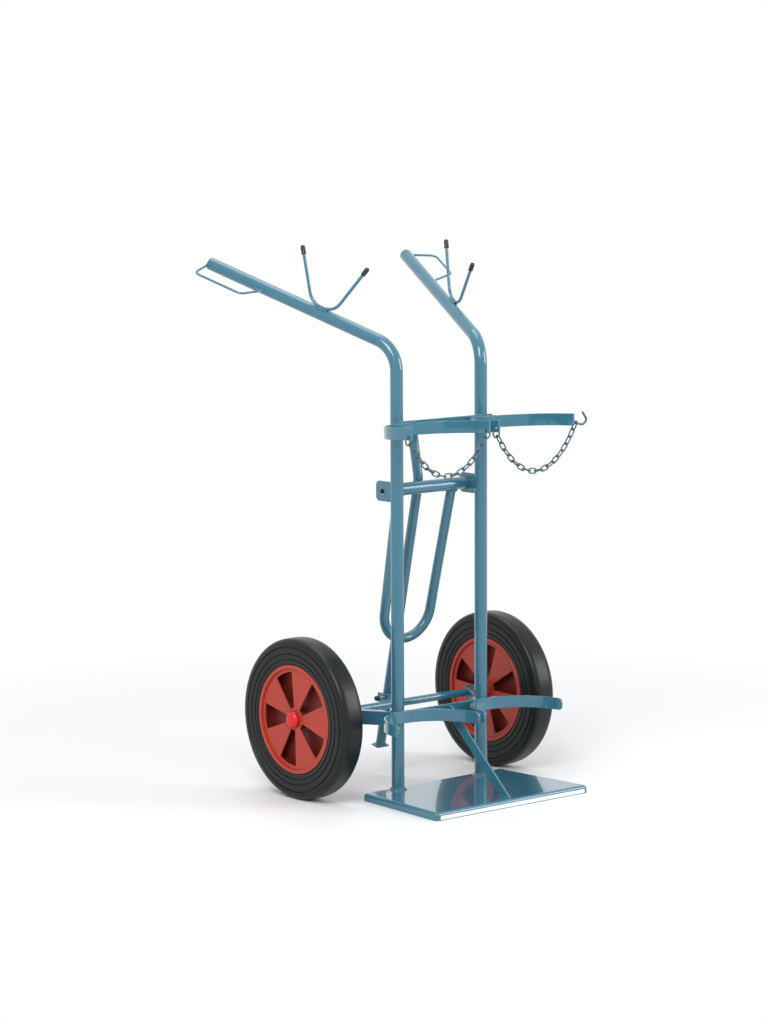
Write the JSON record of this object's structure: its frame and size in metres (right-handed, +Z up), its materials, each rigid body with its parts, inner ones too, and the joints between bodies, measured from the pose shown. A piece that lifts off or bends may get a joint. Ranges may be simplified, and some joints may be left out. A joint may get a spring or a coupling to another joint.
{
  "type": "oxy acetylene torch cart",
  "caption": "Two-cylinder gas trolley: bent-tube handles, cradles with chains, folded toe plate, spoked wheels on an axle and a latched rear prop stand that swings.",
  "frame": {"origin": "centre of the whole cart's footprint, on the floor", "axes": "+Z up, +X across the cart to the side with the chain hook, -Y to the toe plate, +Y to the handles"},
  "size_m": [0.7886, 0.778, 1.3567],
  "materials": {
    "frame_paint": "glossy blue-grey enamel on welded steel",
    "bright_steel": "turned and plated steel",
    "chain_steel": "dull zinc-plated wire",
    "black_plastic": "soft black moulding",
    "bush_plastic": "plain bearing plastic",
    "rim_plastic": "red moulded plastic with a soft sheen",
    "cap_plastic": "bright red moulded cap",
    "tyre_rubber": "smooth black rubber"
  },
  "bodies": {
    "cart": {"toe_plate": "frame_paint", "left_handle_tube": "frame_paint", "right_handle_tube": "frame_paint", "left_handle_plug": "frame_paint", "right_handle_plug": "frame_paint", "lower_crossbar": "frame_paint", "upper_crossbar": "frame_paint", "lower_cradle_left": "frame_paint", "lower_cradle_right": "frame_paint", "upper_cradle_left": "frame_paint", "upper_cradle_right": "frame_paint", "centre_strut": "frame_paint", "side_arm_left": "frame_paint", "side_arm_right": "frame_paint", "axle": "bright_steel", "axle_collar_left": "bright_steel", "axle_collar_right": "bright_steel", "axle_washer_left": "bright_steel", "axle_washer_right": "bright_steel", "hub_cap_left": "cap_plastic", "hub_cap_right": "cap_plastic", "pivot_ear_left": "frame_paint", "pivot_ear_right": "frame_paint", "pivot_spindle": "bright_steel", "left_hose_hook": "frame_paint", "right_hose_hook": "frame_paint", "left_hook_tips": "black_plastic", "right_hook_tips": "black_plastic", "left_knuckle_guard": "frame_paint", "right_knuckle_guard": "frame_paint", "latch_bracket": "frame_paint", "chain_hook": "chain_steel"},
    "stand": {"pivot_crossbar": "frame_paint", "pivot_bush_left": "bush_plastic", "pivot_bush_right": "bush_plastic", "rear_bow": "frame_paint", "prop_leg": "frame_paint", "prop_foot": "frame_paint", "lever_plug": "frame_paint"},
    "latch": {"latch_pin": "bright_steel", "latch_knob": "black_plastic"},
    "wheel_left": {"tyre_left": "tyre_rubber", "rim_left": "rim_plastic", "bearing_left": "bush_plastic"},
    "wheel_right": {"tyre_right": "tyre_rubber", "rim_right": "rim_plastic", "bearing_right": "bush_plastic"},
    "left_chain": {"chain_left": "chain_steel"},
    "right_chain": {"chain_right": "chain_steel"}
  },
  "joints": [
    {"name": "stand_swing", "type": "hinge", "parent": "cart", "child": "stand", "pos_m": [0, -0.06533, 0.757], "axis": [1, 0, 0], "range_deg": [0, 36]},
    {"name": "latch_slide", "type": "slide", "parent": "cart", "child": "latch", "axis": [1, 0, 0], "range_m": [0, 0.008]},
    {"name": "left_wheel_spin", "type": "hinge", "parent": "cart", "child": "wheel_left", "pos_m": [-0.3168, 0.03297, 0.2], "axis": [1, 0, 0], "continuous": true},
    {"name": "right_wheel_spin", "type": "hinge", "parent": "cart", "child": "wheel_right", "pos_m": [0.3168, 0.03297, 0.2], "axis": [1, 0, 0], "continuous": true},
    {"name": "left_chain_swing", "type": "hinge", "parent": "cart", "child": "left_chain", "pos_m": [-0.14, -0.30848, 0.91631], "axis": [1, 0, 0], "range_deg": [-30, 30]},
    {"name": "right_chain_swing", "type": "hinge", "parent": "cart", "child": "right_chain", "pos_m": [0.0155, -0.30848, 0.91631], "axis": [0.9999, 0, -0.0104], "range_deg": [-30, 30]}
  ]
}
